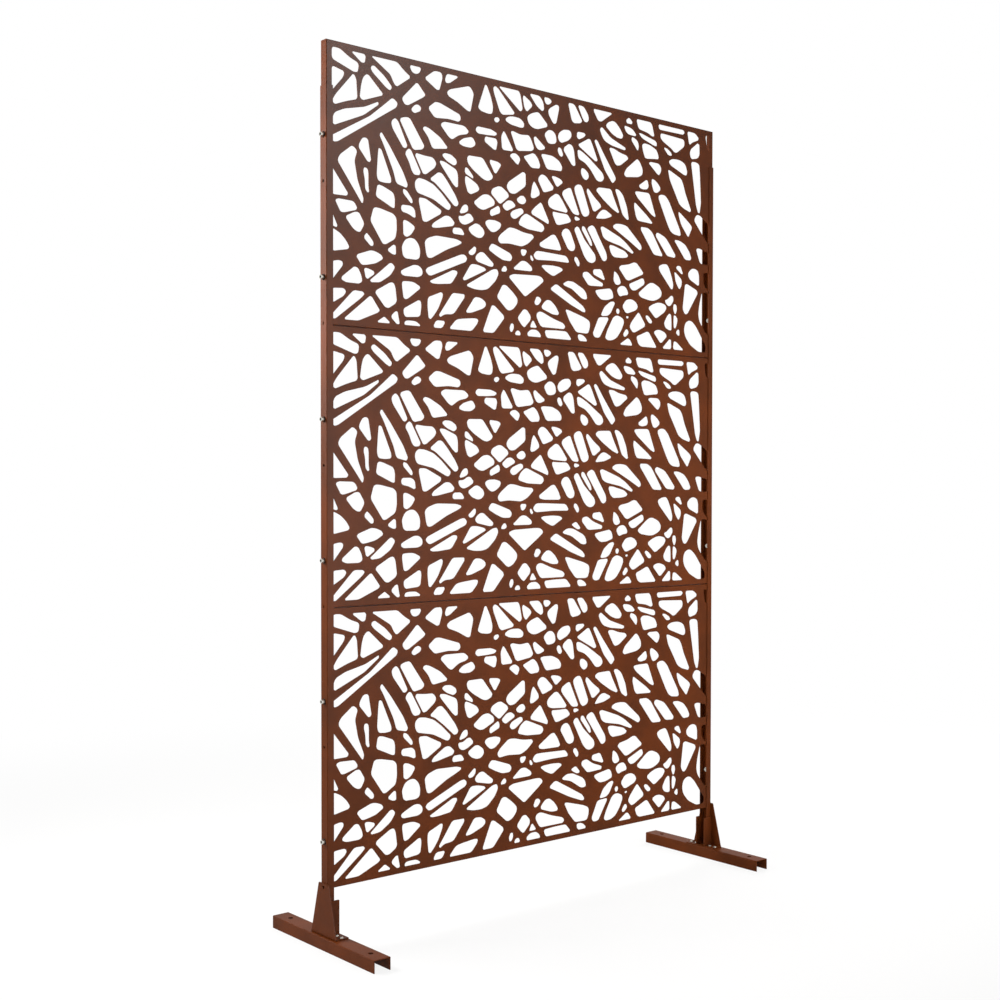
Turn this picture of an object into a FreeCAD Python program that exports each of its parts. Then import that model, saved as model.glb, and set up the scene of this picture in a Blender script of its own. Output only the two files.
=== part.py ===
import FreeCAD, Part
import math
import os

os.makedirs("parts", exist_ok=True)

# Driving dimensions in mm. X runs along the screen, -Y is its front, Z is up from the floor.

# Cut-out panels: thin sheet with its four edges folded back.
PANEL_NAMES = ("bottom", "middle", "top")
PANEL_W = 1200.0         # width over the folded side edges
PANEL_H = 599.0          # height of one panel
PANEL_DEPTH = 21.0       # front face to the rear of the folds
PANEL_SHEET = 1.5
PANEL_JOINT = 1.5        # dark line between stacked panels
PANEL_BORDER = 13.5      # plain margin around the cut-outs
FLOOR_GAP = 130.4        # open height under the lowest panel
CORNER_RUN = 7.0         # longest straight length that a rounded cut-out corner takes away
CORNER_SHARE = 0.46      # share of the shorter neighbouring side that it may take away

# Posts: channels, open towards the panels, that hold the panels' side folds.
POST_SHEET = 1.5
POST_LEG = 16.5          # leg width seen from the front
POST_DEPTH_PLAY = 0.5    # play in front of and behind the folds
POST_TOP_DROP = 95.0     # the post ends this far below the top edge
SPARE_HOLE_D = 7.0       # open holes in the posts' outer faces
SPARE_HOLE_DROP = 97.5   # each lies this far below a panel bolt

# Panel bolts: round heads on washers outside the posts, nuts inside the folds.
BOLT_RISE = 100.0        # lower bolt of a panel above the panel's bottom edge
BOLT_PITCH = 300.0
BOLT_D = 6.0
BOLT_HEAD_D = 10.0
BOLT_HEAD_H = 6.0
BOLT_HEAD_ROUND = 0.6
BOLT_SOCKET = 5.0        # across flats
WASHER_D = 12.5
WASHER_H = 1.6
NUT_FLATS = 10.0
NUT_H = 5.0

# Feet: channels that lie with their open side down.
FOOT_L = 400.0
FOOT_W = 41.0
FOOT_H = 27.5
FOOT_SHEET = 2.0
FOOT_SET = 11.5          # the foot's centre line lies this far inside the post's outer face
FOOT_HOLE_D = 12.0
FOOT_HOLE_PITCH = 316.0

# Foot brackets: sloping outer plate, base and two upright tabs that form the post's socket.
BRACKET_SHEET = 2.5
BASE_L = 97.0
BASE_EDGE = 1.5          # from the foot's inner edge to the base's edge
PLATE_TOP_W = 37.5
PLATE_TOP_RISE = 8.0     # plate above the centre of its hole
TAB_W = 28.0
TAB_H = 74.0
SOCKET_PLAY = 0.25       # between the tabs and the post
ROUND = 2.0              # rounding of the bracket's free corners

# Foot bolts: two in front of the post and two behind it.
FOOT_BOLT_Y = (23.0, 40.5)
FOOT_BOLT_D = 6.0
FOOT_BOLT_HEAD_D = 10.5
FOOT_BOLT_HEAD_H = 3.3
FOOT_BOLT_SOCKET = 4.0
FOOT_NUT_FLATS = 10.0
FOOT_NUT_H = 5.0

BOLT_HOLE_PLAY = 0.5     # bolt hole over bolt diameter
THREAD_PLAY = 0.1        # nut bore over bolt diameter
BOLT_TAIL = 1.5          # bolt past its nut
SOCKET_DEPTH_SHARE = 0.6

# Places that follow from the sizes above.
EDGE_X = PANEL_W / 2
WEB_X = EDGE_X + POST_SHEET
POST_INSIDE = PANEL_DEPTH + 2 * POST_DEPTH_PLAY
POST_DEPTH = POST_INSIDE + 2 * POST_SHEET
PANEL_FRONT = -PANEL_DEPTH / 2
PANEL_Z = [FLOOR_GAP + i * (PANEL_H + PANEL_JOINT) for i in range(len(PANEL_NAMES))]
TOP_Z = PANEL_Z[-1] + PANEL_H
BOLT_Z = [[z + BOLT_RISE + k * BOLT_PITCH for k in (0, 1)] for z in PANEL_Z]
SPARE_Z = [z - SPARE_HOLE_DROP for pair in BOLT_Z for z in pair]
FOOT_X = WEB_X - FOOT_SET
BASE_TOP = FOOT_H + BRACKET_SHEET
BASE_X = FOOT_X - FOOT_W / 2 + BASE_EDGE
PLATE_X = WEB_X + BRACKET_SHEET
PLATE_TOP = SPARE_Z[0] + PLATE_TOP_RISE
FOOT_BOLT_X = (BASE_X + WEB_X) / 2

# Field of the cut-outs as it was drawn: left, low, right, high.
DRAWN = (13.5, 13.5, 1194.5, 586.5)

# Web of cut-outs, one per line, as the corners "x,z" of the drawn field.
# The corners are rounded afterwards, so they lie a little outside the openings.
CUTOUTS = """
13.5,586.5 34,586.5 60,572 83,564 80,545 70,543 13.5,561
61,586.5 101,586.5 98,568 89,566.5
112,586.5 183,586.5 202,571 221,560 180,531 171,542 165,555
111,561 121,568 150,549 170,529 164,520 153,525 118,551
13.5,547 46,540 43,528 13.5,494
69,541 76,530 79,487 50,478 20,466 14,473 23,488
105,547 148,508 92,487 84,492 88,520 93,537
133,491 134,485 95,456 18,422 13.5,432 20,449 45,461 98,474
171,507 185,497 181,487 28,389 18,387 13.5,392 13.5,400 110,456 150,489
215,586.5 250,586.5 243,573 232,569 222,572
178,464 186,458 212,406 200,400 169,441 166,455
188,464 203,470 217,471 258,414 251,406 226,401
141,428 165,398 199,349 212,322 208,315 180,321 172,347 146,401 135,420
237,553 261,528 254,522 212,497 203,497 194,509
285,586.5 305,586.5 308,575 299,546 291,545 256,565
319,586.5 355,586.5 328,567 317,565 314,572
386,571 398,556 388,513 379,513 350,528 324,537 319,545 328,553
287,518 300,518 358,501 360,490 353,484 325,486 285,482 266,501
219,489 228,482 246,490 249,498 240,504 230,501
300,470 312,478 371,478 384,467 377,460 355,455 334,441 324,446
351,437 366,449 394,457 405,441 390,431 366,431
251,453 258,459 272,456 303,440 325,419 279,412 267,436
430,582 436,582 448,558 455,535 452,519 440,517 418,520 409,526
461,585 454,580 456,569 474,528 482,522 516,528 520,533 470,581
469,586.5 533,586.5 538,578 545,545 537,538
547,580 569,568 576,559 557,541 549,550 544,572
564,586.5 598,586.5 610,573 612,556 605,551 587,561
612,586.5 628,586.5 638,580 628,571 618,569.5 612,578
594,548 572,541 557,531 562,515 575,507 590,506 622,517 622,524
488,512 500,521 515,524 538,523 550,513 548,503 537,501 505,504
456,507 461,513 471,514 475,509 469,502 461,501
401,475 408,483.5 450,483 468,476 461,470 440,468 408,467
430,464 464,464 468,456 464,438 457,437 428,452
486,486 478,472 481,441 513,442 515,447 492,481
507,487 514,490 538,485 564,488 571,480 581,459 573,452 531,446 524,450
585,489 578,485 581,471 590,459 600,458 619,465
513,438 525,439 539,429 531,413 524,415 503,431
548,436 580,449 593,438 600,422 597,414 571,412 549,432
650,575 659,574 660,566 651,530 641,527 626,546 624,556 630,563
688,586.5 710,586.5 737,549 728,543 707,540 700,546
720,586.5 741,586.5 757,567 758,555 751,549 743,549 736,557
774,586.5 840,586.5 800,559 789,559 774,580
840,568 822,561 814,551 836,535 855,528 871,528 877,537 865,553 851,565
802,547 811,541 833,525 884,508 885,503 879,501 835,506 812,513 802,523 794,540
895,585 885,577 888,570 906,570 909,576 901,583
877,563 897,562 912,557 923,546 918,542 893,543 884,549
921,586.5 974,586.5 980,580 988,553 979,551 962,558 933,562 928,567
929,553 940,553 992,542 997,537 996,528 985,529 942,541
952,530 972,528.5 995,520 1001,511 1005,497 984,495 961,492 953,493 945,510 942,525
906,539 918,537 929,530 932,518 929,508 925,508 904,530
626,511 640,511 650,502 652,487 647,481 634,478 623,479 611,498
693,521 674,519 659,509 655,498 660,489 667,486 690,495 701,506 700,516
718,519 724,522 743,522 748,518 742,512 724,503 717,508
722,491 756,510 763,510 770,499 789,461 780,458 726,486
776,508 781,513 788,510 810,480 849,431 851,424 839,411 812,441
825,500 844,500 864,493 889,489 895,482 866,461 852,459 846,464
926,487 936,480 946,463 945,449 930,441 885,435 878,441 886,456
966,482 974,486 1004,486 1013,478 1013,467 1005,456 998,458
958,438 964,437 968,423 963,415 945,412 934,415 932,421
978,444 988,443 1004,433 1013,421 998,410 986,410 977,430
658,475 667,473 674,458 668,452 660,455 654,467
692,488 703,486 709,475 714,440 709,436 701,438 674,469 676,477
719,479 733,477 757,465 806,433 811,420 801,411 785,411 763,436 746,449 722,457
601,449 612,451 640,450.5 662,441 671,428 668,418 620,416
732,436 745,435 757,426 759,416 751,408 741,409 731,420
1001,586.5 1095,586.5 1101,581 1094,574 1004,573
1009,564 1020,565 1099,562 1100,545 1071,524 1061,523 1050,531 1020,544 1009,552
1019,531 1034,530 1050,521 1053,514 1047,512.5 1037,513
1109,586 1140,585.5 1154,575 1152,569 1130,560 1120,552 1116,555
1150,561 1157,558 1158,531 1150,521 1124,515 1119,530 1123,541
1124,508 1140,510.5 1157,507 1160,475 1164,405 1159,378.5 1152,378.5 1144,396
1039,497 1052,505 1072,507 1090,505 1104,498 1111,480 1108,470 1098,470 1047,488
1037,476 1048,474 1088,459 1096,446 1104,424 1126,382 1122,376 1096,383 1080,392 1044,450
1179,586.5 1194.5,586.5 1194.5,545 1185,552
64,386 72,383 78,376 71,355 79,315 95,276 91,264 85,272 27,349 33,362
92,408 106,408 109,390 114,362 110,357 104,358 81,385 83,394
95,345 105,343 107,334 107,305 109,293 104,291 98,298 97,320 93,335
133,392 141,390 167,330 167,320 150,318 132,320 128,332 131,375
215,403 221,400 247,355 243,348 228,347 221,356 215,372 204,389 207,397
234,396 258,393.5 282,393 291,381 286,371 262,353 253,352 231,390
305,402 313,408 332,407.5 347,398 349,389 340,383 318,391
377,406 382,413 424,414 455,375 451,368 437,362 424,365 396,381 380,394
445,413 470,411 480,406 464,383 458,384 444,406
545,399 554,397 555,367 522,344 505,343 494,357 500,369
470,355 481,355 500,343 503,335 475,313 447,336 452,347
424,330 442,332 459,321 460,310 426,294 412,296 395,308
470,310 475,306 477,294 450,283 445,286 445,296
498,326 512,327 526,316 496,301 488,304 481,312
540,313 547,310 548,303 524,286 513,285 505,294 512,303 529,310
555,303 568,299 610,282 614,273 606,264 560,266 530,274 539,292
537,342 550,343 557,332 550,324 540,322 530,325 525,332
580,382 585,378 597,362 599,352 582,342 572,341 569,346 574,372
600,400 610,402 620,398 643,376 640,369 617,361 609,360 591,388
601,335 606,331 628,293 626,285 612,290 573,303 571,309 581,320
372,385 380,384 396,368 396,361 370,371
372,366 383,363 408,351 415,340 408,334 388,325 379,329 371,352
297,389 313,389 348,375 352,363 352,337 345,335 336,342 304,378
295,362 306,362 320,348 345,317 354,300 350,293 341,292 310,319 285,338 270,343
240,342 258,341 283,333 305,317 333,291 326,281 318,282 281,300 236,309 230,322 231,334
242,299 261,299 305,278 303,270 263,247 252,247 241,290
315,268 329,268 343,255 338,247 290,237 275,237 281,247
370,300 380,300 382,287 372,281 359,278 356,281 362,293
351,273 366,272 378,280 388,281 400,268 381,257 368,253 356,258
402,261 413,260 427,250 430,240 422,230 409,228 391,234 379,247
337,244 362,245 373,229.5 335,229.5
429,267 440,274 462,275 480,270 477,259 462,248 449,246 437,255
503,264 520,263.5 548,257 576,255 581,249 562,232 542,223 503,226 474,223 468,233 476,244
537,217 560,217 554,205 547,201 541,203
597,237 637,262 648,263 660,248 668,230 662,226.5 612,227 599,230
21,265 30,269 70,268 78,255 75,250 44,241 35,241
72,246 83,246 97,223 86,204 77,204 66,210 46,233
13.5,335 55,283 51,277 13.5,276
13.5,240 28,211 25,207 13.5,210
13.5,206 35,196 50,182 58,169 54,164 13.5,156
120,262 136,262 173,254 181,246 182,220 178,200 152,185 144,185 111,232
130,313 144,311 173,300 177,287 176,266 168,267 146,277 125,286
198,313 209,310 224,292 225,284 219,283 198,303
193,277 221,277.5 231,271 233,254 228,252 212,259 193,262
198,245 212,243 233,232 221,214 208,207 199,211
634,402 646,403 665,399 674,392 656,379 650,380
649,362 659,361 671,349 689,325 684,320 640,323 627,328 623,339 629,349
690,381 699,382 727,323 724,319 706,320 675,354 669,364 673,372
720,394 733,394 739,386 761,332 758,323 749,319 741,318 734,324 711,374 709,386
753,389 759,387 778,370 798,356 801,349 780,335 772,336 750,381
782,320 792,334 804,343 816,344 841,332 815,322 787,319
781,388 790,396 803,397 835,398 842,382 863,344 858,341 838,349 805,369
846,401 862,400 876,389 890,361 897,330 890,328 874,338 866,356 859,374
915,403 930,405 970,406 978,387 993,351 990,347 977,352 926,389
916,376 922,374 965,346 982,332 978,329 928,331 921,340 914,365
1003,404 1014,408.5 1028,408 1042,396 1084,326 1087,313 1082,310 1058,312 1046,319 1034,338 1003,396
1077,373 1085,370 1121,347 1131,338 1117,312 1112,312 1087,340 1078,362
939,317 966,317 981,308 1019,254 1016,250 986,251 939,309
993,305 1000,309.5 1010,307 1030,300 1044,286 1068,258 1064,251 1035,253 994,298
1060,298 1082,298 1104,290 1120,273 1128,257 1124,251 1103,250
797,299 806,302 820,298 866,282 888,270 915,249 909,245 868,260 818,269 806,276
837,305 850,314 870,315.5 890,313 940,272 944,262 936,256 900,275
826,259 842,259 884,249 896,239 890,234 875,231 843,230 833,239
716,291 725,291 745,262 781,229 783,217 777,210 766,207 754,210 742,222 709,283
736,295 745,294 768,262 771,250 764,249 734,286
770,301 779,297 791,278 820,236 821,221 811,216 804,218 753,289 757,295
639,318 660,317 689,317 701,302 692,297 661,288 651,288 639,310
710,315.5 722,314.5 731,310 722,306 711,305
680,282 691,282 699,274 714,243 711,232 698,229 688,234 667,267 672,277
578,207 587,218 605,218.5 685,216 696,200 640,200 590,197 582,200
712,218 721,216 729,204 727,195 720,195 709,210
1070,229 1076,232 1087,232 1096,213 1090,211 1070,224
1146,373 1160,373 1194.5,352 1194.5,297 1172,319 1136,357
1144,284 1158,286 1194.5,277 1194.5,245 1161,246 1154,260
102,205 108,200 120,187 120,178 112,177 93,194
173,187 179,185 180,165 170,165 154,173
203,201 218,207 230,206 241,196 246,182 244,165 235,160 205,160 198,165 194,184
113,168 125,167 141,161 146,153 126,141 100,135 88,134 75,151 79,156
13.5,135 32,138.5 41,136 41,128 13.5,95
70,129 80,127 89,111 91,98 82,93 48,93 37,98 38,104
94,129 108,128 122,123 122,117 104,105 99,108
162,145 169,146 178,138 165,119 137,101 114,99 110,103 140,127
13.5,78 43,80 50,74 44,64 13.5,46
68,78 92,77 97,72 88,63 22,13.5 13.5,13.5 13.5,23
113,71.5 137,40 132,35 80,13.5 41,13.5
163,103 173,104 178,95 182,65 178,58 160,47 150,48 124,77 127,83
192,131 200,136 228,148.5 242,148 252,140 252,128 240,122 200,121.5 193,125
196,109 212,110.5 228,110 249,100 212,72 203,70 199,74 195,100
240,71 247,70 249,60 246,38 240,34 205,31 200,37 199,49
147,27 151,26 167,13.5 126,13.5
177,41 184,42 190,13.5 181,13.5 164,29
201,13.5 203,22 212,24 234,24 250,13.5
257,203 266,212 290,220 348,218.5 366,213 354,206 320,192 276,168 265,168 261,178
360,185 372,186 379,178 375,170 350,160 276,129 268,129 259,138 264,145 280,152
338,148 350,146 350,140 336,120 330,116 295,112 278,112 270,116
389,167 408,167 430,162 435,157 376,129 368,127 365,131
454,161 468,162.5 472,152 463,135 440,114 422,109.5 398,110 373,116
416,197 427,197 457,174 455,167 445,166 407,174 401,181 405,189
399,208 405,206 404,195 395,187 385,187 381,193
450,220 460,219 508,203 514,194 508,185 484,185 462,194 439,206
487,172 494,172 498,164 493,159 480,158.5 480,164
541,190 556,190 574,178 576,170 568,167.5 520,167 516,170
500,149 516,156 590,159.5 604,158 613,149 598,137 555,107 549,108
483,128 495,128 517,112 530,99 529,88 517,74 504,69 496,71 465,98
588,110 599,109 605,102 595,90 585,89 581,95
451,78 460,77 487,57 489,50 457,13.5 423,13.5 440,54
547,76 558,76 571,62 570,52 551,33 543,37 528,54
575,51 580,51 590,37 586,35 569,35 569,40
509,40 517,40 519,30 513,20 507,20 504,29
526,24.5 536,24.5 541,13.5 519,13.5
570,30 590,30.5 601,22 604,13.5 561,13.5 559,21
289,30.5 317,30.5 307,13.5 280,13.5
346,36 360,39 400,43.5 412,42 409,32 392,13.5 325,13.5
266,80 282,86 303,94.5 309,92 308,83 296,57 283,40 274,31 268,34 265,60
336,96 371,95.5 371,88 341,50 332,47 314,46 301,38 297,43
400,92.5 420,91.5 433,83 434,75 426,68 390,55 372,54
569,206 574,205 580,196 576,192 571,194 568,200
602,184 611,187 640,188.5 664,187 676,181.5 645,164 637,164 618,172
622,105 634,104 650,92 661,76 658,71 640,71 606,82 604,88 611,97
590,71 599,75 608,74 640,62 675,52.5 682,45 677,38.5 603,38.5 594,50 587.5,63
613,31.5 650,33.5 686,33.5 704,13.5 620,13.5
722,29 733,30 746,25.5 757,13.5 728,13.5 722.5,20
673,148 688,156.5 708,156 744,140 752,130 754,118 746,116 735,117.5 702,138 677,144
630,131.5 648,144 656,144 741,99 748,90 747,84.5 738,85 697,100
680,87 692,86 745,72 763,64 764,50 758,35 750,33 717,34 694,60
739,182 755,185.5 776,172 808,161 806,153.5 764,151.5 756,153 737,173
775,193 798,195.5 804,192 814,172 809,169.5 775,180 772,186
779,141 790,144 831,151 839,146 843,136 843,128 821,121 800,120.5 787,130
800,83 811,103 832,118 845,119.5 849,115 834,89 823,82 805,80.5
791,74 798,77 824,78.5 827,74 797,27.5 790,25.5 778,26 772,35
842,80 853,85.5 864,85 879,78.5 881,69 872,50 856,30 840,22.5 823,21.5 814,27 821,45
855,103 863,103 866,96 861,89 854,90.5 852,98
886,86 896,87 897,83 890,80
887,127 900,130 911,130 924,124 931,113 923,104 893,94 885,95 873,110
845,196 853,193 863,184 870,168 862,162.5 850,162 842.5,172
864,159 875,161.5 884,160.5 893,152 896,140.5 878,138 867,134 861,137 854,150
861,205 868,212 896,217 915,224.5 926,223.5 952,199 897,176.5 887,178
896,167.5 944,187 951,186 954,176 951,171 922,154 910,153 903,157
929,147 962,172 974,178.5 987,178.5 1008,170 1017,158 1015,147 1005,140 988,133.5 972,133 940,138
965,113.5 980,123 1000,130 1016,130.5 1030,126.5 1035,119.5 1028,108 1000,91 992,90
956,92 962,95 970,92 982,81 980,75 970,74.5 961,83
930,99 936,97 956,72 955,65 920,48 911,47.5 899,60 905,72
887,54 894,53 898,45 888,35 880,34 877,41
893,31.5 901,29.5 913,13.5 863,13.5
923,38 940,44 962,53 970,52 1000,13.5 941,13.5 931,19
985,54 1000,60.5 1013,60.5 1030,55 1037,46 1017,28 1010,28
1003,223 1017,230 1036,232 1044,222 1055,198 1060,180 1057,169 1050,169 1008,211
1062,215 1070,213 1092,197 1091,182 1084,172 1079,173 1067,190
1026,138 1036,141 1051,152.5 1059,151 1061,140 1050,126 1041,124 1033,128.5
1060,130 1066,132 1072,129 1074,117 1069,106 1064,106 1058,119
1061,103 1069,102 1077,93 1072,75 1067,68 1061,70 1059.5,86
1036,99 1045,106 1052,103 1053.5,85 1053.5,63 1046,62 1030,67 1024,79
1078,67.5 1083,65 1084,53 1079,49.5 1067,58
1045,39.5 1052,38 1053,13.5 1017,13.5
1061,35.5 1072,34 1101,13.5 1058,13.5
1103,186 1112,188 1149,175 1153,167 1115,112 1108,108 1101,110 1094,122
1106,87 1119,93.5 1132,91.5 1148,78 1185,30 1185,13.5 1155,13.5 1123,29.5 1105,49 1100,63 1101,76
1168,171.5 1194.5,171.5 1194.5,57 1180,67 1158,95 1154,113 1158,137
1173,224 1194.5,224 1194.5,175 1186,180 1173,196
1115,218 1127,229 1141,231 1154,226 1158,213 1158,190 1153,187 1122,200 1115,208
"""

# One small cut-out that the top panel does not have.
LOWER_PANELS_CUTOUT = "702,166 716,172 722,170 735,155.5 724,153 709,160.5"


def drawn_points(line):
    """Corners of one cut-out, moved from the drawn field to a panel that stands on Z 0."""
    left, low, right, high = DRAWN
    scale_x = (PANEL_W - 2 * PANEL_BORDER) / (right - left)
    scale_z = (PANEL_H - 2 * PANEL_BORDER) / (high - low)
    points = []
    for pair in line.split():
        x, z = (float(value) for value in pair.split(","))
        points.append(FreeCAD.Vector(
            PANEL_BORDER - EDGE_X + (x - left) * scale_x,
            PANEL_FRONT,
            PANEL_BORDER + (z - low) * scale_z,
        ))
    return points


def rounded_wire(points):
    """Closed outline through the sides of a polygon, with an arc in place of each corner."""
    arcs = []
    for i, corner in enumerate(points):
        before = points[i - 1] - corner
        after = points[(i + 1) % len(points)] - corner
        run = min(CORNER_RUN, CORNER_SHARE * before.Length, CORNER_SHARE * after.Length)
        half = before.getAngle(after) / 2
        before.normalize()
        after.normalize()
        inward = (before + after).normalize()
        rise = run * (1 - math.sin(half)) / math.cos(half)
        arcs.append((corner + before * run, corner + inward * rise, corner + after * run))
    edges = []
    for i, (start, middle, end) in enumerate(arcs):
        edges.append(Part.Arc(start, middle, end).toShape())
        edges.append(Part.makeLine(end, arcs[(i + 1) % len(arcs)][0]))
    return Part.Wire(edges)


def cutter(line):
    """Prism that opens one cut-out through the panel's front sheet."""
    prism = Part.Face(rounded_wire(drawn_points(line))).extrude(FreeCAD.Vector(0, 3 * PANEL_SHEET, 0))
    return prism.translated(FreeCAD.Vector(0, -PANEL_SHEET, 0))


def block(x, y, z):
    """Box between two values on each axis."""
    return Part.makeBox(x[1] - x[0], y[1] - y[0], z[1] - z[0], FreeCAD.Vector(x[0], y[0], z[0]))


def along(shape, axis, keep):
    """Edges of a shape that run along one axis and whose middle passes a test."""
    found = []
    for edge in shape.Edges:
        step = edge.Vertexes[0].Point - edge.Vertexes[-1].Point
        if abs(getattr(step, axis)) > 0.999 * edge.Length and keep(edge.CenterOfMass):
            found.append(edge)
    return found


def rod(diameter, base, direction, length):
    """Cylinder from a base point along a direction."""
    return Part.makeCylinder(diameter / 2, length, base, direction)


def hexagon(flats, base, direction, length):
    """Six-sided prism from a base point along a direction."""
    side = flats / math.sqrt(3)
    turns = [math.radians(60 * k) for k in range(7)]
    ring = Part.makePolygon([FreeCAD.Vector(side * math.cos(a), side * math.sin(a), 0) for a in turns])
    prism = Part.Face(ring).extrude(FreeCAD.Vector(0, 0, length))
    prism.Placement = FreeCAD.Placement(base, FreeCAD.Rotation(FreeCAD.Vector(0, 0, 1), direction))
    return prism


def bolt(head, seat, outward, diameter, head_h, socket, length):
    """Head on a seat point, standing out along outward, with its hexagon recess and plain shank."""
    shank = rod(diameter, seat - outward * length, outward, length + head_h / 4)
    depth = SOCKET_DEPTH_SHARE * head_h
    recess = hexagon(socket, seat + outward * (head_h - depth), outward, depth + 1)
    return head.fuse(shank).cut(recess).removeSplitter()


def domed_head(seat, outward, head_d, head_h):
    """Low round head whose top is a cap of a ball."""
    dome_h = 0.75 * head_h
    radius = ((head_d / 2) ** 2 + dome_h ** 2) / (2 * dome_h)
    ball = Part.makeSphere(radius, seat + outward * (head_h - radius))
    return rod(head_d, seat, outward, head_h).common(ball)


def straight_head(seat, outward, head_d, head_h, rounding):
    """Tall round head with a rounded outer rim."""
    head = rod(head_d, seat, outward, head_h)
    top = seat + outward * head_h
    rim = [e for e in head.Edges if e.Closed and abs((e.CenterOfMass - top).dot(outward)) < 1e-6]
    return head.makeFillet(rounding, rim)


def washer(seat, outward, bore, diameter, height):
    """Washer that rests on the seat point and stands out along outward."""
    return rod(diameter, seat, outward, height).cut(rod(bore, seat - outward, outward, height + 2))


def nut(seat, outward, diameter, flats, height):
    """Six-sided nut that rests on the seat point and stands out along outward."""
    body = hexagon(flats, seat, outward, height)
    return body.cut(rod(diameter + THREAD_PLAY, seat - outward, outward, height + 2))


def flip(shape):
    """The same shape on the other side of the screen."""
    return shape.mirror(FreeCAD.Vector(0, 0, 0), FreeCAD.Vector(1, 0, 0))


def save(name, shape):
    shape.exportStep("parts/" + name + ".step")


def save_pair(name, right_shape):
    """Writes the right piece and its mirror image."""
    save("right_" + name, right_shape)
    save("left_" + name, flip(right_shape))


OUT = FreeCAD.Vector(1, 0, 0)
UP = FreeCAD.Vector(0, 0, 1)

# One panel on Z 0. Its web has rounded edges and cut-outs. Its four folds meet the web's back face
# to face, as solids of their own, so that the panel stays open behind.
web_back = PANEL_FRONT + PANEL_SHEET
slab = block((-EDGE_X, EDGE_X), (PANEL_FRONT, -PANEL_FRONT), (0, PANEL_H))
front_edges = [e for e in slab.Edges if abs(e.CenterOfMass.y - PANEL_FRONT) < 1e-6]
slab = slab.makeFillet(PANEL_SHEET, front_edges)
sheet = slab.common(block(
    (-EDGE_X - 1, EDGE_X + 1),
    (PANEL_FRONT - 1, web_back),
    (-1, PANEL_H + 1),
))
top_web = sheet.cut(Part.makeCompound([cutter(line) for line in CUTOUTS.strip().splitlines()]))
lower_web = top_web.cut(cutter(LOWER_PANELS_CUTOUT))

# The side folds have holes for the bolts and one spare hole.
inside_x = EDGE_X - PANEL_SHEET
fold_y = (web_back, -PANEL_FRONT)
side = FreeCAD.Vector(-EDGE_X - 1, 0, 0)
side_holes = [rod(
    SPARE_HOLE_D,
    side + UP * (BOLT_RISE + BOLT_PITCH - SPARE_HOLE_DROP),
    OUT,
    PANEL_W + 2,
)]
for k in (0, 1):
    height = UP * (BOLT_RISE + k * BOLT_PITCH)
    side_holes.append(rod(BOLT_D + BOLT_HOLE_PLAY, side + height, OUT, PANEL_W + 2))
folds = []
for x in ((-EDGE_X, -inside_x), (inside_x, EDGE_X)):
    folds += block(x, fold_y, (0, PANEL_H)).cut(Part.makeCompound(side_holes)).Solids
for z in ((0, PANEL_SHEET), (PANEL_H - PANEL_SHEET, PANEL_H)):
    folds.append(block((-inside_x, inside_x), fold_y, z))
for name, z in zip(PANEL_NAMES, PANEL_Z):
    front = top_web if name == "top" else lower_web
    save(name + "_panel", Part.makeCompound(front.Solids + folds).translated(UP * z))

# Posts.
post = block(
    (WEB_X - POST_LEG, WEB_X),
    (-POST_DEPTH / 2, POST_DEPTH / 2),
    (BASE_TOP, TOP_Z - POST_TOP_DROP),
)
post = post.makeFillet(POST_SHEET, along(post, "z", lambda p: abs(p.x - WEB_X) < 1e-6))
post = post.cut(block(
    (WEB_X - POST_LEG - 1, EDGE_X),
    (-POST_INSIDE / 2, POST_INSIDE / 2),
    (BASE_TOP - 1, TOP_Z),
))
web = FreeCAD.Vector(EDGE_X - 1, 0, 0)
web_holes = [rod(SPARE_HOLE_D, web + UP * z, OUT, POST_SHEET + 2) for z in SPARE_Z]
for pair in BOLT_Z:
    web_holes += [rod(BOLT_D + BOLT_HOLE_PLAY, web + UP * z, OUT, POST_SHEET + 2) for z in pair]
save_pair("post", post.cut(Part.makeCompound(web_holes)))

# Panel bolts, washers and nuts, two of each per panel and side.
bolt_length = WASHER_H + POST_SHEET + PANEL_SHEET + NUT_H + BOLT_TAIL
for name, pair in zip(PANEL_NAMES, BOLT_Z):
    bolts = []
    washers = []
    nuts = []
    for z in pair:
        place = OUT * WEB_X + UP * z
        seat = place + OUT * WASHER_H
        head = straight_head(seat, OUT, BOLT_HEAD_D, BOLT_HEAD_H, BOLT_HEAD_ROUND)
        bolts.append(bolt(head, seat, OUT, BOLT_D, BOLT_HEAD_H, BOLT_SOCKET, bolt_length))
        washers.append(washer(place, OUT, BOLT_D + BOLT_HOLE_PLAY, WASHER_D, WASHER_H))
        nuts.append(nut(OUT * inside_x + UP * z, -OUT, BOLT_D, NUT_FLATS, NUT_H))
    save_pair(name + "_panel_bolts", Part.makeCompound(bolts))
    save_pair(name + "_panel_washers", Part.makeCompound(washers))
    save_pair(name + "_panel_nuts", Part.makeCompound(nuts))

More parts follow.
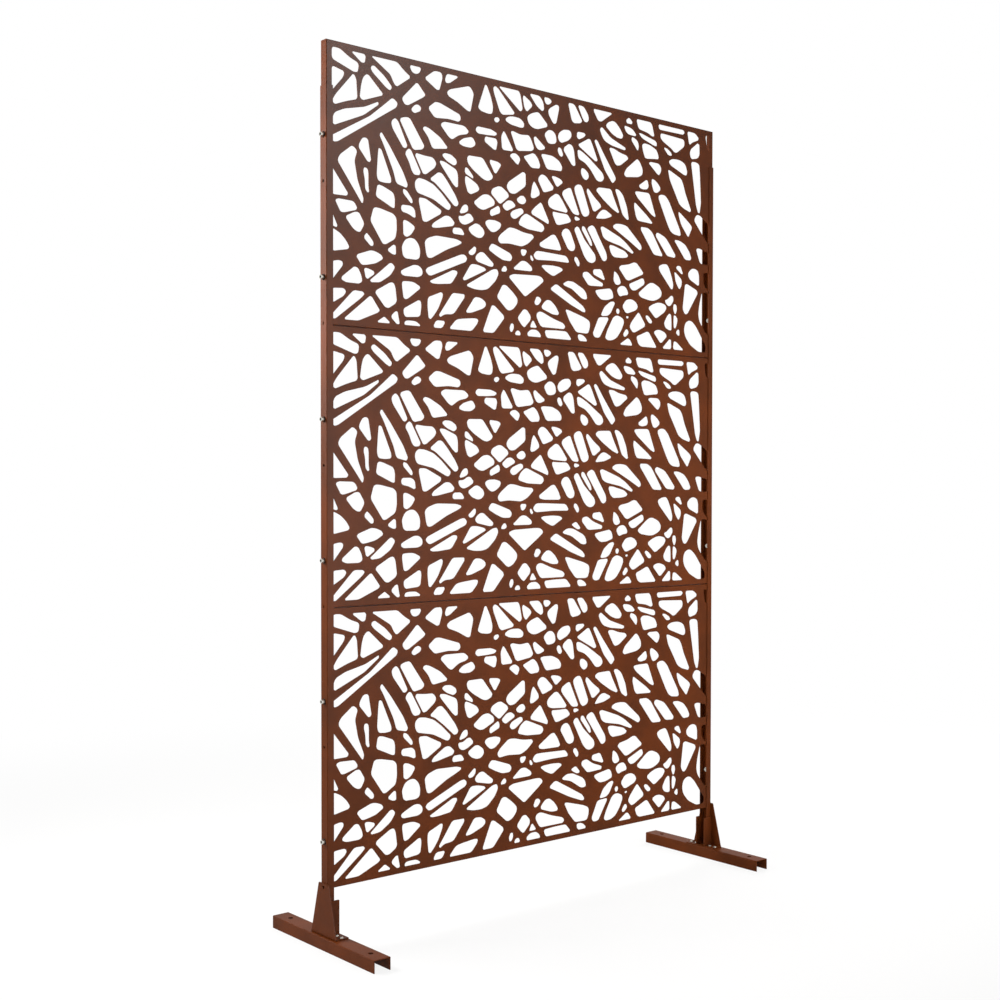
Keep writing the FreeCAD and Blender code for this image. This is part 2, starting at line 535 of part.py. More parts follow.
# Feet.
foot_x = (FOOT_X - FOOT_W / 2, FOOT_X + FOOT_W / 2)
foot_bolts_at = [FreeCAD.Vector(FOOT_BOLT_X, s * y, 0) for y in FOOT_BOLT_Y for s in (-1, 1)]
foot = block(foot_x, (-FOOT_L / 2, FOOT_L / 2), (0, FOOT_H))
foot = foot.makeFillet(FOOT_SHEET, along(foot, "y", lambda p: p.z > FOOT_H / 2))
foot = foot.cut(block(
    (foot_x[0] + FOOT_SHEET, foot_x[1] - FOOT_SHEET),
    (-FOOT_L / 2 - 1, FOOT_L / 2 + 1),
    (-1, FOOT_H - FOOT_SHEET),
))
foot_holes = []
for s in (-1, 1):
    place = FreeCAD.Vector(FOOT_X, s * FOOT_HOLE_PITCH / 2, 1)
    foot_holes.append(rod(FOOT_HOLE_D, place, UP, FOOT_H))
bolt_holes = [rod(FOOT_BOLT_D + BOLT_HOLE_PLAY, p + UP, UP, BASE_TOP) for p in foot_bolts_at]
save_pair("foot", foot.cut(Part.makeCompound(foot_holes + bolt_holes)))

# Foot brackets.
plate_corners = [
    FreeCAD.Vector(WEB_X, -BASE_L / 2, FOOT_H),
    FreeCAD.Vector(WEB_X, BASE_L / 2, FOOT_H),
    FreeCAD.Vector(WEB_X, PLATE_TOP_W / 2, PLATE_TOP),
    FreeCAD.Vector(WEB_X, -PLATE_TOP_W / 2, PLATE_TOP),
]
plate = Part.Face(Part.makePolygon(plate_corners + plate_corners[:1])).extrude(OUT * BRACKET_SHEET)
plate = plate.makeFillet(ROUND, along(plate, "x", lambda p: p.z > BASE_TOP))
base = block((BASE_X, PLATE_X), (-BASE_L / 2, BASE_L / 2), (FOOT_H, BASE_TOP))
base = base.makeFillet(ROUND, along(base, "z", lambda p: p.x < FOOT_BOLT_X))
bracket = plate.fuse(base)
tab_y = POST_DEPTH / 2 + SOCKET_PLAY
for low, high in ((tab_y, tab_y + BRACKET_SHEET), (-tab_y - BRACKET_SHEET, -tab_y)):
    tab = block((WEB_X - TAB_W, PLATE_X - BRACKET_SHEET / 2), (low, high), (FOOT_H, BASE_TOP + TAB_H))
    tab = tab.makeFillet(ROUND, along(tab, "y", lambda p: p.x < FOOT_BOLT_X and p.z > BASE_TOP))
    bracket = bracket.fuse(tab)
bracket = bracket.removeSplitter()
bend = along(bracket, "y", lambda p: abs(p.x - PLATE_X) < 1e-6 and abs(p.z - FOOT_H) < 1e-6)
bracket = bracket.makeFillet(ROUND, bend)
plate_hole = rod(SPARE_HOLE_D, web + UP * SPARE_Z[0], OUT, POST_SHEET + BRACKET_SHEET + 2)
save_pair("foot_bracket", bracket.cut(Part.makeCompound([plate_hole] + bolt_holes)))

# Foot bolts and nuts.
foot_bolt_length = BRACKET_SHEET + FOOT_SHEET + FOOT_NUT_H + BOLT_TAIL
bolts = []
nuts = []
for p in foot_bolts_at:
    seat = p + UP * BASE_TOP
    head = domed_head(seat, UP, FOOT_BOLT_HEAD_D, FOOT_BOLT_HEAD_H)
    bolts.append(bolt(
        head, seat, UP, FOOT_BOLT_D, FOOT_BOLT_HEAD_H, FOOT_BOLT_SOCKET, foot_bolt_length,
    ))
    nuts.append(nut(p + UP * (FOOT_H - FOOT_SHEET), -UP, FOOT_BOLT_D, FOOT_NUT_FLATS, FOOT_NUT_H))
save_pair("foot_bolts", Part.makeCompound(bolts))
save_pair("foot_nuts", Part.makeCompound(nuts))
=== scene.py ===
import bmesh
import bpy
import math
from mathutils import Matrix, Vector


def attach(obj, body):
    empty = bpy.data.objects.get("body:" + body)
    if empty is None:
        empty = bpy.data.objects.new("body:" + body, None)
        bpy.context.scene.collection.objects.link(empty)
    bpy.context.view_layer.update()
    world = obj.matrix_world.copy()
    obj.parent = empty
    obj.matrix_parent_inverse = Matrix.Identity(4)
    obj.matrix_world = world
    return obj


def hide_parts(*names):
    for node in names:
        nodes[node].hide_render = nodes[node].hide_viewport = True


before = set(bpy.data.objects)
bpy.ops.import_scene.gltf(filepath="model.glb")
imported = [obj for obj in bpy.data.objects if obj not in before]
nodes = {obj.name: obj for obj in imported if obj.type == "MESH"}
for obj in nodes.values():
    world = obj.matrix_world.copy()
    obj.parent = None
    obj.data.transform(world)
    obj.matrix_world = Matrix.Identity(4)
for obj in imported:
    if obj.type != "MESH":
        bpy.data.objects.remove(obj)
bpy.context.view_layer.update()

MM = 0.001

# Camera that stands in front of the screen's left end.
CAMERA_PLACE = (-2.2303, -2.5868, 0.9909)
CAMERA_TURN = (88.700, -0.105, -40.868)     # degrees about X, Y, Z
CAMERA_LENS = 51.249                        # mm
CAMERA_SENSOR = 36                          # mm
CAMERA_SHIFT = (-0.0409, 0.0180)            # shares of the picture's width
CAMERA_REACH = 100                          # m

# Seats of the fasteners, in mm.
WASHER_FACE_X = 603.1
FOLD_INSIDE_X = 598.5
PANEL_BOLT_Z = (230.4, 530.4, 830.9, 1130.9, 1431.4, 1731.4)
FOOT_BOLT_X = 586.25
FOOT_BOLT_Y = (-40.5, -23.0, 23.0, 40.5)
BASE_TOP_Z = 30.0
FOOT_INSIDE_Z = 25.5

# Sizes of the fasteners, in mm.
PANEL_HEAD_D = 10.0
PANEL_HEAD_H = 6.0
PANEL_SOCKET = 5.0                          # across flats
PANEL_SHANK_L = 11.1
FOOT_HEAD_D = 10.5
FOOT_HEAD_H = 3.3
FOOT_SOCKET = 4.0                           # across flats
FOOT_SHANK_L = 11.0
SHANK_D = 6.0
THREAD_PITCH = 1.0
NUT_FLATS = 10.0
NUT_H = 5.0
NUT_BORE = 6.1

# Shapes of the fasteners, as shares of their sizes.
SOCKET_MOUTH = 1.22                         # round mouth over the socket's flats
SOCKET_REACH = 0.6                          # radius just past the socket's corners, over its flats
HEAD_UNDERSIDE = 0.1                        # faces below this height belong to the head's underside
DOME_RIM = 0.25                             # straight rim under a domed head
DOME_STEPS = 7
NUT_FACE = 0.93                             # round flat face over the flats
NUT_SLOPE = 0.9                             # fall of the turned-off corners
NUT_MOUTH = 1.08                            # wider mouth over the bore
NUT_MOUTH_DEPTH = 0.06
ROUND_STEPS = 36                            # sides of a round fastener, six to each side of a hexagon
CORE_STEPS = 24                             # sides of a threaded shank's core
THREAD_STEPS = 20                           # points in one turn of a thread
RIDGE_STEPS = 4                             # sides of a thread's ridge
SHARP_ANGLE = 32                            # degrees between faces that keep a crisp edge

FLOOR_SIZE = 40.0                           # m
FLOOR_WHITE = "#F4F3F1"
ROOM_LIGHT = 0.2                            # strength of the white room as light


def linear(code):
    """Linear RGBA of an sRGB hex colour."""
    parts = [int(code[i:i + 2], 16) / 255 for i in (1, 3, 5)]
    return [c / 12.92 if c <= 0.04045 else ((c + 0.055) / 1.055) ** 2.4 for c in parts] + [1.0]


def per_metre(size_mm):
    """Texture scale on Object coordinates that gives features of a size in mm."""
    return 1 / (size_mm * MM)


def add(tree, kind, inputs=None, **settings):
    """Node with its settings; an input that is a socket is linked, any other is set."""
    node = tree.nodes.new(kind)
    for name, value in settings.items():
        setattr(node, name, value)
    for name, value in (inputs or {}).items():
        if isinstance(value, bpy.types.NodeSocket):
            tree.links.new(value, node.inputs[name])
        else:
            node.inputs[name].default_value = value
    return node


def new_material(name):
    """Empty node material and its tree."""
    material = bpy.data.materials.new(name)
    material.use_nodes = True
    material.node_tree.nodes.clear()
    return material, material.node_tree


# Rust-brown polyester powder coat, sprayed and baked on steel sheet: an even satin film with a faint
# orange-peel ripple, slight cloudiness in its tone and a fine grain that breaks up the sheen.
def powder_coat():
    material, tree = new_material("rust_brown_powder_coat")
    place = add(tree, "ShaderNodeTexCoord").outputs["Object"]
    cloud = add(tree, "ShaderNodeTexNoise", {"Vector": place, "Scale": per_metre(90), "Detail": 3.0})
    # The pigment fleck is under 0.2 mm on the real coat and is drawn at 1.6 mm so that it shows.
    fleck = add(tree, "ShaderNodeTexNoise", {"Vector": place, "Scale": per_metre(1.6), "Detail": 2.0})
    # The orange-peel ripple is about 3 mm from crest to crest.
    ripple = add(tree, "ShaderNodeTexNoise", {"Vector": place, "Scale": per_metre(3.0), "Detail": 1.0})
    cloud_share = add(tree, "ShaderNodeMapRange", {
        "Value": cloud.outputs["Fac"], "From Min": 0.3, "From Max": 0.7,
    })
    tone = add(tree, "ShaderNodeMix", {
        "Factor": cloud_share.outputs["Result"],
        "A": linear("#52270E"),
        "B": linear("#642F10"),
    }, data_type="RGBA")
    fleck_share = add(tree, "ShaderNodeMapRange", {
        "Value": fleck.outputs["Fac"], "From Min": 0.35, "From Max": 0.75, "To Max": 0.22,
    })
    colour = add(tree, "ShaderNodeMix", {
        "Factor": fleck_share.outputs["Result"],
        "A": tone.outputs["Result"],
        "B": linear("#46200B"),
    }, data_type="RGBA")
    gloss = add(tree, "ShaderNodeMapRange", {
        "Value": fleck.outputs["Fac"], "From Min": 0.3, "From Max": 0.7, "To Min": 0.36, "To Max": 0.48,
    })
    film = add(tree, "ShaderNodeBump", {
        "Height": ripple.outputs["Fac"], "Strength": 0.35, "Distance": 0.10 * MM,
    })
    grain = add(tree, "ShaderNodeBump", {
        "Height": fleck.outputs["Fac"], "Strength": 0.30, "Distance": 0.05 * MM,
        "Normal": film.outputs["Normal"],
    })
    coat = add(tree, "ShaderNodeBsdfPrincipled", {
        "Base Color": colour.outputs["Result"],
        "Roughness": gloss.outputs["Result"],
        "Normal": grain.outputs["Normal"],
        "IOR": 1.5,
        "Specular IOR Level": 0.05,
    })
    add(tree, "ShaderNodeOutputMaterial", {"Surface": coat.outputs["BSDF"]})
    return material


# Bright zinc plating on cold-headed steel bolts and nuts: silver with a faint warm cast, small
# uneven spots of passivation and a soft, slightly blurred shine. The faces inside the bolts' sockets
# are coloured near black, as painted shade in the recesses.
def zinc_plating():
    material, tree = new_material("zinc_plated_steel")
    place = add(tree, "ShaderNodeTexCoord").outputs["Object"]
    spots = add(tree, "ShaderNodeTexNoise", {"Vector": place, "Scale": per_metre(2.2), "Detail": 3.0})
    scratch = add(tree, "ShaderNodeTexNoise", {"Vector": place, "Scale": per_metre(0.7), "Detail": 2.0})
    tone = add(tree, "ShaderNodeMix", {
        "Factor": spots.outputs["Fac"],
        "A": linear("#E0DDD4"),
        "B": linear("#C6C3B9"),
    }, data_type="RGBA")
    gloss = add(tree, "ShaderNodeMapRange", {
        "Value": spots.outputs["Fac"], "From Min": 0.3, "From Max": 0.7, "To Min": 0.22, "To Max": 0.36,
    })
    relief = add(tree, "ShaderNodeBump", {
        "Height": scratch.outputs["Fac"], "Strength": 0.2, "Distance": 0.02 * MM,
    })
    # Mask of the faces inside the sockets, which take a near-black painted shade colour.
    socket_shade = add(tree, "ShaderNodeAttribute", attribute_name="socket_shade")
    colour = add(tree, "ShaderNodeMix", {
        "Factor": socket_shade.outputs["Fac"],
        "A": tone.outputs["Result"],
        "B": linear("#2B2723"),
    }, data_type="RGBA")
    metal = add(tree, "ShaderNodeBsdfPrincipled", {
        "Base Color": colour.outputs["Result"],
        "Metallic": 1.0,
        "Roughness": gloss.outputs["Result"],
        "Normal": relief.outputs["Normal"],
    })
    add(tree, "ShaderNodeOutputMaterial", {"Surface": metal.outputs["BSDF"]})
    return material


# Moulded black rubber washers: matt, with a fine moulding grain and a little dust on the high spots.
def black_rubber():
    material, tree = new_material("black_rubber")
    place = add(tree, "ShaderNodeTexCoord").outputs["Object"]
    grain = add(tree, "ShaderNodeTexNoise", {"Vector": place, "Scale": per_metre(0.5), "Detail": 2.0})
    dust = add(tree, "ShaderNodeTexNoise", {"Vector": place, "Scale": per_metre(6), "Detail": 3.0})
    colour = add(tree, "ShaderNodeMix", {
        "Factor": dust.outputs["Fac"],
        "A": linear("#1D1714"),
        "B": linear("#2E2621"),
    }, data_type="RGBA")
    gloss = add(tree, "ShaderNodeMapRange", {
        "Value": dust.outputs["Fac"], "From Min": 0.3, "From Max": 0.7, "To Min": 0.62, "To Max": 0.78,
    })
    relief = add(tree, "ShaderNodeBump", {
        "Height": grain.outputs["Fac"], "Strength": 0.3, "Distance": 0.03 * MM,
    })
    rubber = add(tree, "ShaderNodeBsdfPrincipled", {
        "Base Color": colour.outputs["Result"],
        "Roughness": gloss.outputs["Result"],
        "Normal": relief.outputs["Normal"],
        "Specular IOR Level": 0.3,
    })
    add(tree, "ShaderNodeOutputMaterial", {"Surface": rubber.outputs["BSDF"]})
    return material


def see_white(tree):
    """1 for rays that see the backdrop itself: from the camera, in metal or through glass."""
    rays = add(tree, "ShaderNodeLightPath").outputs
    shiny = add(tree, "ShaderNodeMath", {
        0: rays["Is Camera Ray"], 1: rays["Is Glossy Ray"],
    }, operation="MAXIMUM")
    either = add(tree, "ShaderNodeMath", {
        0: shiny.outputs[0], 1: rays["Is Transmission Ray"],
    }, operation="MAXIMUM")
    return either.outputs[0]


# Studio floor, a matt white sweep: nearly white to the camera, with a faint shadow left on it.
def studio_white():
    material, tree = new_material("matt_white_studio_floor")
    matt = add(tree, "ShaderNodeBsdfDiffuse", {"Color": linear(FLOOR_WHITE)})
    glow = add(tree, "ShaderNodeEmission", {"Color": (1, 1, 1, 1), "Strength": 1.0})
    place = add(tree, "ShaderNodeTexCoord").outputs["Object"]
    reach = add(tree, "ShaderNodeVectorMath", {0: place}, operation="LENGTH")
    # The shadow near the feet is kept, and the floor fades to plain white away from them.
    whiten = add(tree, "ShaderNodeMapRange", {
        "Value": reach.outputs["Value"], "From Min": 0.9, "From Max": 3.0, "To Min": 0.85, "To Max": 1.0,
    }, interpolation_type="SMOOTHSTEP")
    share = add(tree, "ShaderNodeMath", {
        0: see_white(tree), 1: whiten.outputs["Result"],
    }, operation="MULTIPLY")
    mixed = add(tree, "ShaderNodeMixShader", {
        0: share.outputs[0], 1: matt.outputs["BSDF"], 2: glow.outputs["Emission"],
    })
    add(tree, "ShaderNodeOutputMaterial", {"Surface": mixed.outputs["Shader"]})
    return material


def soft_box(name, place, target, size, power, kept_off=None):
    """Soft box that faces a target: plain light, or sheen alone where some pieces are kept out of it."""
    data = bpy.data.lights.new(name, "AREA")
    data.shape = "RECTANGLE"
    data.size, data.size_y = size
    data.energy = power
    light = bpy.data.objects.new(name, data)
    light.visible_camera = False
    light.visible_diffuse = kept_off is None
    light.visible_glossy = kept_off is not None
    light.light_linking.receiver_collection = kept_off
    light.location = place
    light.rotation_euler = (Vector(target) - Vector(place)).to_track_quat("-Z", "Y").to_euler()
    bpy.context.scene.collection.objects.link(light)


def hexagon_ring(flats):
    """Points around a hexagon of a size across flats, six on each side."""
    points = []
    for i in range(ROUND_STEPS):
        angle = 2 * math.pi * i / ROUND_STEPS
        from_flat = (angle % (math.pi / 3)) - math.pi / 6
        reach = flats / 2 / math.cos(from_flat)
        points.append((reach * math.cos(angle), reach * math.sin(angle)))
    return points


def circle_ring(diameter):
    """Points around a circle, level with those of a hexagon ring."""
    turns = [2 * math.pi * i / ROUND_STEPS for i in range(ROUND_STEPS)]
    return [(diameter / 2 * math.cos(a), diameter / 2 * math.sin(a)) for a in turns]


def skin(name, rings, closed):
    """Mesh through rings of (x, y, z) points; closed joins the last ring to the first."""
    made = bmesh.new()
    rows = [[made.verts.new(point) for point in ring] for ring in rings]
    pairs = list(zip(rows, rows[1:] + rows[:1])) if closed else list(zip(rows, rows[1:]))
    for low, high in pairs:
        for i in range(ROUND_STEPS):
            k = (i + 1) % ROUND_STEPS
            made.faces.new((low[i], low[k], high[k], high[i]))
    if not closed:
        made.faces.new(list(reversed(rows[0])))
        made.faces.new(rows[-1])
    bmesh.ops.recalc_face_normals(made, faces=made.faces)
    mesh = bpy.data.meshes.new(name)
    made.to_mesh(mesh)
    made.free()
    return bpy.data.objects.new(name, mesh)


def bolt_head(name, outline, socket_share):
    """Head of height 1 and diameter 1 on Z 0, turned to an outline of (diameter, z), with a socket."""
    mouth_z = outline[-1][1]
    rings = [[(x, y, z) for x, y in circle_ring(d)] for d, z in outline]
    # Socket from its lead-in down to the tapered floor, as shares of its flats and heights.
    for share, z in ((1.06, mouth_z - 0.01), (1.0, mouth_z - 0.06), (1.0, 0.40), (0.6, 0.36), (0.1, 0.30)):
        rings.append([(x, y, z) for x, y in hexagon_ring(socket_share * share)])
    head = skin(name, rings, closed=False)
    # Faces inside the socket are marked for painted shade, a near-black colour in the plating.
    socket_shade = head.data.attributes.new("socket_shade", "FLOAT", "FACE")
    for face in head.data.polygons:
        reach = max(math.hypot(*head.data.vertices[v].co.xy) for v in face.vertices)
        inside = reach < SOCKET_REACH * socket_share and face.center.z > HEAD_UNDERSIDE
        socket_shade.data[face.index].value = float(inside)
    return head


def domed_outline(mouth):
    """Low rim with a dome above it, up to the mouth of the socket."""
    outline = [(0.94, 0.0), (1.0, 0.06), (1.0, DOME_RIM)]
    for k in range(1, DOME_STEPS + 1):
        across = 1.0 + (mouth - 1.0) * k / DOME_STEPS
        outline.append((across, DOME_RIM + (1 - DOME_RIM) * (1 - across ** 2)))
    return outline


def straight_outline(mouth):
    """Straight side with a rounded outer rim, flat up to the mouth of the socket."""
    return [(0.97, 0.0), (1.0, 0.025), (1.0, 0.90), (0.984, 0.95), (0.94, 0.985), (0.88, 1.0), (mouth, 1.0)]


def chamfered_nut(name, bore_share):
    """Six-sided nut of height 1 and width 1 across flats on Z 0, with turned-off corners."""
    rings = []
    for top in (False, True):
        outer = []
        for x, y in hexagon_ring(1.0):
            fall = max(0.0, math.hypot(x, y) - NUT_FACE / 2) * NUT_SLOPE
            outer.append((x, y, 1 - fall if top else fall))
        flat = [(x, y, float(top)) for x, y in circle_ring(NUT_FACE)]
        mouth = [(x, y, float(top)) for x, y in circle_ring(bore_share * NUT_MOUTH)]
        bore_z = 1 - NUT_MOUTH_DEPTH if top else NUT_MOUTH_DEPTH
        bore = [(x, y, bore_z) for x, y in circle_ring(bore_share)]
        rings += [outer, flat, mouth, bore] if top else [bore, mouth, flat, outer]
    return skin(name, rings, closed=True)


def group_inputs(tree, sockets):
    """Named inputs of a node group; gives its input node and each socket's identifier by name."""
    tree.interface.new_socket("Geometry", in_out="INPUT", socket_type="NodeSocketGeometry")
    known = {}
    for name, kind in sockets:
        socket = tree.interface.new_socket(name, in_out="INPUT", socket_type="NodeSocket" + kind)
        known[name] = socket.identifier
    tree.interface.new_socket("Geometry", in_out="OUTPUT", socket_type="NodeSocketGeometry")
    return add(tree, "NodeGroupInput").outputs, known


def set_on_seats(tree, given, shape):
    """Stands a shape on every seat point, turned to the seat's axis and spun at random about it."""
    axis = add(tree, "GeometryNodeInputNamedAttribute", {"Name": "axis"}, data_type="FLOAT_VECTOR")
    upright = add(tree, "FunctionNodeAlignRotationToVector", {"Vector": axis.outputs["Attribute"]}, axis="Z")
    spin = add(tree, "FunctionNodeRandomValue", {
        "Max": 2 * math.pi, "Seed": given["Spin seed"],
    }, data_type="FLOAT")
    spin_turn = add(tree, "ShaderNodeCombineXYZ", {"Z": spin.outputs["Value"]})
    turned = add(tree, "FunctionNodeRotateRotation", {
        "Rotation": upright.outputs["Rotation"], "Rotate By": spin_turn.outputs["Vector"],
    }, rotation_space="LOCAL")
    placed = add(tree, "GeometryNodeInstanceOnPoints", {
        "Points": given["Geometry"], "Instance": shape, "Rotation": turned.outputs["Rotation"],
    })
    real = add(tree, "GeometryNodeRealizeInstances", {"Geometry": placed.outputs["Instances"]})
    finished = add(tree, "GeometryNodeSetMaterial", {
        "Geometry": real.outputs["Geometry"], "Material": given["Finish"],
    })
    add(tree, "NodeGroupOutput", {"Geometry": finished.outputs["Geometry"]})


def bolt_tree():
    """Bolts: a scaled head, a core and a thread that winds along it."""
    tree = bpy.data.node_groups.new("socket_bolts", "GeometryNodeTree")
    given, known = group_inputs(tree, (
        ("Head", "Object"), ("Head diameter", "Float"), ("Head height", "Float"), ("Shank diameter", "Float"),
        ("Shank length", "Float"), ("Thread pitch", "Float"), ("Spin seed", "Int"), ("Finish", "Material"),
    ))
    head = add(tree, "GeometryNodeObjectInfo", {"Object": given["Head"]})
    head_size = add(tree, "ShaderNodeCombineXYZ", {
        "X": given["Head diameter"], "Y": given["Head diameter"], "Z": given["Head height"],
    })
    sized_head = add(tree, "GeometryNodeTransform", {
        "Geometry": head.outputs["Geometry"], "Scale": head_size.outputs["Vector"],
    })
    depth = add(tree, "ShaderNodeMath", {0: given["Thread pitch"], 1: 0.5}, operation="MULTIPLY")
    crest = add(tree, "ShaderNodeMath", {0: given["Shank diameter"], 1: 0.5}, operation="MULTIPLY")
    root = add(tree, "ShaderNodeMath", {0: crest.outputs[0], 1: depth.outputs[0]}, operation="SUBTRACT")
    core = add(tree, "GeometryNodeMeshCylinder", {
        "Vertices": CORE_STEPS, "Radius": root.outputs[0], "Depth": given["Shank length"],
    })
    low = add(tree, "ShaderNodeMath", {0: given["Shank length"], 1: -1.0}, operation="MULTIPLY")
    middle = add(tree, "ShaderNodeMath", {0: given["Shank length"], 1: -0.5}, operation="MULTIPLY")
    core_place = add(tree, "ShaderNodeCombineXYZ", {"Z": middle.outputs[0]})
    set_core = add(tree, "GeometryNodeTransform", {
        "Geometry": core.outputs["Mesh"], "Translation": core_place.outputs["Vector"],
    })
    turns = add(tree, "ShaderNodeMath", {
        0: given["Shank length"], 1: given["Thread pitch"],
    }, operation="DIVIDE")
    winding = add(tree, "GeometryNodeCurveSpiral", {
        "Resolution": THREAD_STEPS, "Rotations": turns.outputs[0], "Start Radius": root.outputs[0],
        "End Radius": root.outputs[0], "Height": given["Shank length"],
    })
    ridge = add(tree, "GeometryNodeCurvePrimitiveCircle", {
        "Resolution": RIDGE_STEPS, "Radius": depth.outputs[0],
    })
    thread = add(tree, "GeometryNodeCurveToMesh", {
        "Curve": winding.outputs["Curve"], "Profile Curve": ridge.outputs["Curve"], "Fill Caps": True,
    })
    thread_place = add(tree, "ShaderNodeCombineXYZ", {"Z": low.outputs[0]})
    set_thread = add(tree, "GeometryNodeTransform", {
        "Geometry": thread.outputs["Mesh"], "Translation": thread_place.outputs["Vector"],
    })
    whole = add(tree, "GeometryNodeJoinGeometry")
    for part in (sized_head, set_core, set_thread):
        tree.links.new(part.outputs["Geometry"], whole.inputs["Geometry"])
    set_on_seats(tree, given, whole.outputs["Geometry"])
    return tree, known


def nut_tree():
    """Six-sided nuts scaled from one shape."""
    tree = bpy.data.node_groups.new("hexagon_nuts", "GeometryNodeTree")
    given, known = group_inputs(tree, (
        ("Nut", "Object"), ("Across flats", "Float"), ("Height", "Float"), ("Spin seed", "Int"),
        ("Finish", "Material"),
    ))
    nut = add(tree, "GeometryNodeObjectInfo", {"Object": given["Nut"]})
    size = add(tree, "ShaderNodeCombineXYZ", {
        "X": given["Across flats"], "Y": given["Across flats"], "Z": given["Height"],
    })
    sized = add(tree, "GeometryNodeTransform", {
        "Geometry": nut.outputs["Geometry"], "Scale": size.outputs["Vector"],
    })
    set_on_seats(tree, given, sized.outputs["Geometry"])
    return tree, known


def fasteners(name, tree_and_inputs, seats, values, stood_for):
    """Piece with one fastener on each seat (place, axis), in place of the CAD nodes that it stands for."""
    tree, known = tree_and_inputs
    points = bpy.data.meshes.new(name + "_seats")
    points.from_pydata([[v * MM for v in place] for place, _ in seats], [], [])
    axes = points.attributes.new("axis", "FLOAT_VECTOR", "POINT")
    for i, (_, axis) in enumerate(seats):
        axes.data[i].vector = axis
    holder = bpy.data.objects.new(name + "_seats", points)
    bpy.context.scene.collection.objects.link(holder)
    modifier = holder.modifiers.new("fasteners", "NODES")
    modifier.node_group = tree
    for label, value in values.items():
        modifier[known[label]] = value
    seen = holder.evaluated_get(bpy.context.evaluated_depsgraph_get())
    mesh = bpy.data.meshes.new_from_object(seen)
    mesh.set_sharp_from_angle(angle=math.radians(SHARP_ANGLE))
    mesh.name = name
    piece = bpy.data.objects.new(name, mesh)
    bpy.context.scene.collection.objects.link(piece)
    holder.modifiers.remove(modifier)
    bpy.data.objects.remove(holder)
    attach(piece, "root")
    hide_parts(*stood_for)
    return piece


coat = powder_coat()
zinc = zinc_plating()
rubber = black_rubber()
for name, node in nodes.items():
    finish, slot = coat, "rust_brown_coat"
    if name.endswith(("_bolts", "_nuts")):
        finish, slot = zinc, "zinc_plated_steel"
    elif name.endswith("_washers"):
        finish, slot = rubber, "black_rubber"
    node.data.materials.clear()
    node.data.materials.append(finish)

# Fasteners on their seats: panel bolts on the posts' washers with nuts inside the panels' side folds,
# foot bolts on the brackets' bases with nuts under the feet.
bolts, nuts = bolt_tree(), nut_tree()
panel_socket = PANEL_SOCKET / PANEL_HEAD_D
foot_socket = FOOT_SOCKET / FOOT_HEAD_D
panel_bolt_head = bolt_head("panel_bolt_head", straight_outline(panel_socket * SOCKET_MOUTH), panel_socket)
foot_bolt_head = bolt_head("foot_bolt_head", domed_outline(foot_socket * SOCKET_MOUTH), foot_socket)
hexagon_nut = chamfered_nut("hexagon_nut", NUT_BORE / NUT_FLATS)
panel_seats, panel_nut_seats, foot_seats, foot_nut_seats = [], [], [], []
for side in (-1, 1):
    for z in PANEL_BOLT_Z:
        panel_seats.append(((side * WASHER_FACE_X, 0, z), (side, 0, 0)))
        panel_nut_seats.append(((side * FOLD_INSIDE_X, 0, z), (-side, 0, 0)))
    for y in FOOT_BOLT_Y:
        foot_seats.append(((side * FOOT_BOLT_X, y, BASE_TOP_Z), (0, 0, 1)))
        foot_nut_seats.append(((side * FOOT_BOLT_X, y, FOOT_INSIDE_Z), (0, 0, -1)))
panel_ends = [end + "_" + level for end in ("left", "right") for level in ("top", "middle", "bottom")]
panel_bolts = fasteners("panel_bolts", bolts, panel_seats, {
    "Head": panel_bolt_head, "Head diameter": PANEL_HEAD_D * MM, "Head height": PANEL_HEAD_H * MM,
    "Shank diameter": SHANK_D * MM, "Shank length": PANEL_SHANK_L * MM, "Thread pitch": THREAD_PITCH * MM,
    "Spin seed": 3, "Finish": zinc,
}, [end + "_panel_bolts" for end in panel_ends])
foot_bolts = fasteners("foot_bolts", bolts, foot_seats, {
    "Head": foot_bolt_head, "Head diameter": FOOT_HEAD_D * MM, "Head height": FOOT_HEAD_H * MM,
    "Shank diameter": SHANK_D * MM, "Shank length": FOOT_SHANK_L * MM, "Thread pitch": THREAD_PITCH * MM,
    "Spin seed": 5, "Finish": zinc,
}, ["left_foot_bolts", "right_foot_bolts"])
nut_size = {"Nut": hexagon_nut, "Across flats": NUT_FLATS * MM, "Height": NUT_H * MM, "Finish": zinc}
panel_nuts = fasteners("panel_nuts", nuts, panel_nut_seats, {
    **nut_size, "Spin seed": 7,
}, [end + "_panel_nuts" for end in panel_ends])
foot_nuts = fasteners("foot_nuts", nuts, foot_nut_seats, {
    **nut_size, "Spin seed": 11,
}, ["left_foot_nuts", "right_foot_nuts"])

# The lamps for the coat's sheen leave out the bright plating, which mirrors the white room alone.
bright = bpy.data.collections.new("bright_fasteners")
for piece in (panel_bolts, foot_bolts, panel_nuts, foot_nuts):
    bright.objects.link(piece)
for member in bright.collection_objects:
    member.light_linking.link_state = "EXCLUDE"

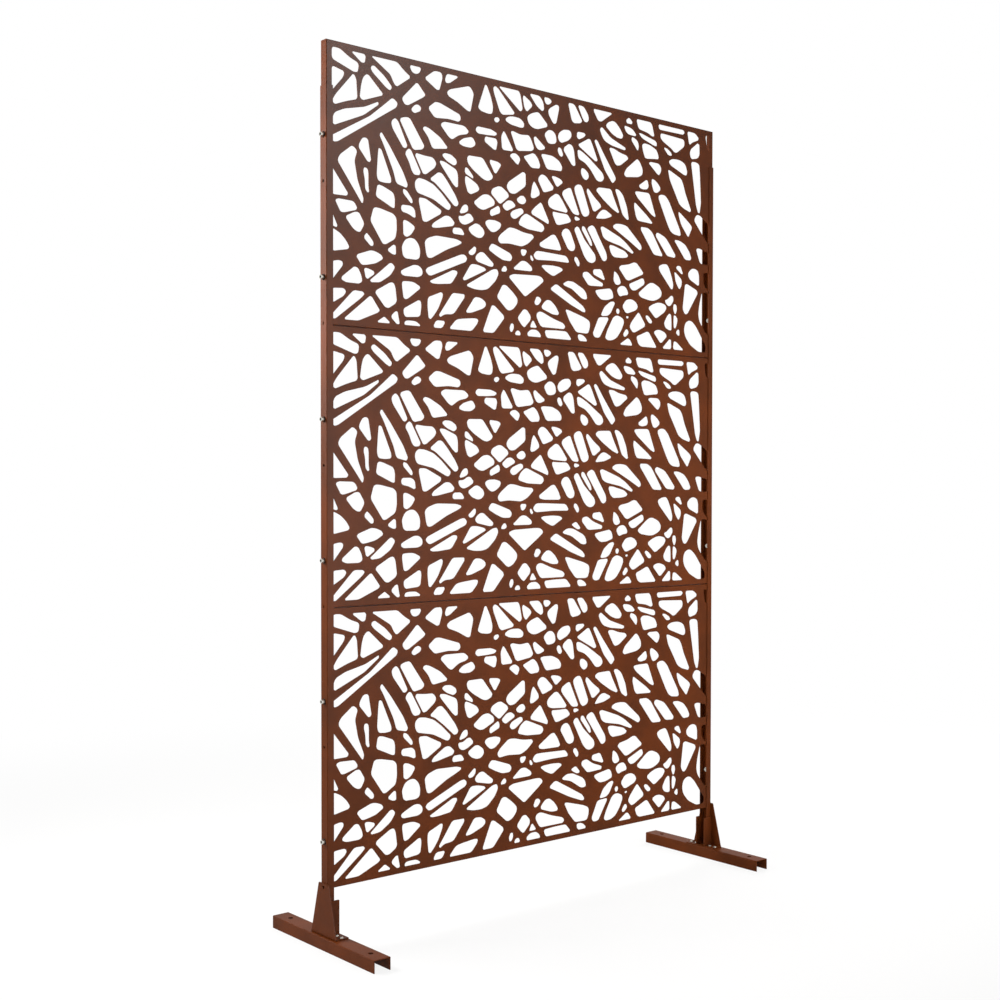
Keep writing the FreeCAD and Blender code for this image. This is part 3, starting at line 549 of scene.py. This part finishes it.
# Floor.
half = FLOOR_SIZE / 2
floor_mesh = bpy.data.meshes.new("floor")
corners = [(-half, -half, 0), (half, -half, 0), (half, half, 0), (-half, half, 0)]
floor_mesh.from_pydata(corners, [], [(0, 1, 2, 3)])
floor_mesh.materials.append(studio_white())
floor = bpy.data.objects.new("floor", floor_mesh)
bpy.context.scene.collection.objects.link(floor)

# White room: full white where it is seen, softer as light on the object.
world = bpy.data.worlds.new("white_room")
world.use_nodes = True
room = world.node_tree
room.nodes.clear()
level = add(room, "ShaderNodeMapRange", {"Value": see_white(room), "To Min": ROOM_LIGHT, "To Max": 1.0})
sky = add(room, "ShaderNodeBackground", {"Color": (1, 1, 1, 1), "Strength": level.outputs["Result"]})
add(room, "ShaderNodeOutputWorld", {"Surface": sky.outputs["Background"]})
bpy.context.scene.world = world

# Boxes and strip give plain light. The sheens give the coat its grey shine towards the left end.
soft_box("side_box", (-1.5, 1.0, 1.7), (-0.6, 0, 1.3), (1.0, 1.0), 57)
soft_box("side_sheen", (-2.6, 3.1, 2.05), (-0.6, 0, 1.45), (2.0, 1.5), 95, kept_off=bright)
soft_box("front_strip", (0.6, -1.25, 0.97), (0.6, 0, 0.97), (2.8, 0.3), 25)
soft_box("front_sheen", (1.05, -3.0, 3.1), (-0.5, 0, 1.8), (1.0, 1.2), 280, kept_off=bright)
soft_box("low_sheen", (0.75, -3.0, 0.85), (-0.6, 0, 0.9), (0.6, 2.0), 110, kept_off=bright)
soft_box("rear_box", (2.4, 2.6, 3.6), (0.3, 0, 0.9), (2.4, 2.4), 62)
soft_box("right_box", (3.0, 1.2, 1.3), (0.6, 0, 0.9), (1.6, 1.6), 60)

# Camera.
camera_data = bpy.data.cameras.new("camera")
camera_data.sensor_width = CAMERA_SENSOR
camera_data.lens = CAMERA_LENS
camera_data.shift_x, camera_data.shift_y = CAMERA_SHIFT
camera_data.clip_end = CAMERA_REACH
camera = bpy.data.objects.new("camera", camera_data)
camera.location = CAMERA_PLACE
camera.rotation_euler = [math.radians(a) for a in CAMERA_TURN]
bpy.context.scene.collection.objects.link(camera)
bpy.context.scene.camera = camera
bpy.context.scene.view_settings.view_transform = "Standard"
